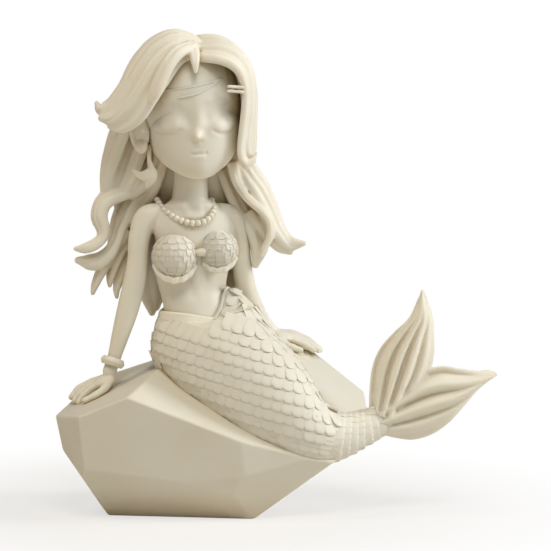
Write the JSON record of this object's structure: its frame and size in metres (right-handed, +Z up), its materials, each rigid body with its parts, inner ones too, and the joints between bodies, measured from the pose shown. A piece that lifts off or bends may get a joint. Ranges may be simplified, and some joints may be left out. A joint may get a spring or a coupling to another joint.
{
  "type": "mermaid figurine",
  "caption": "Cast figurine of a long-haired mermaid who sits on a faceted stone, leaning on one hand, with her scaly tail and forked fin swept to one side.",
  "frame": {"origin": "middle of the stone's flat underside", "axes": "+Z up, -Y towards the viewer whom the figure faces, +X to that viewer's right, where the fin is"},
  "size_m": [0.1463, 0.0671, 0.1598],
  "materials": {
    "cast_resin": "matte ivory cast resin, tinted a little browner in its hollows"
  },
  "bodies": {
    "root": {"figurine": "cast_resin"}
  },
  "joints": []
}
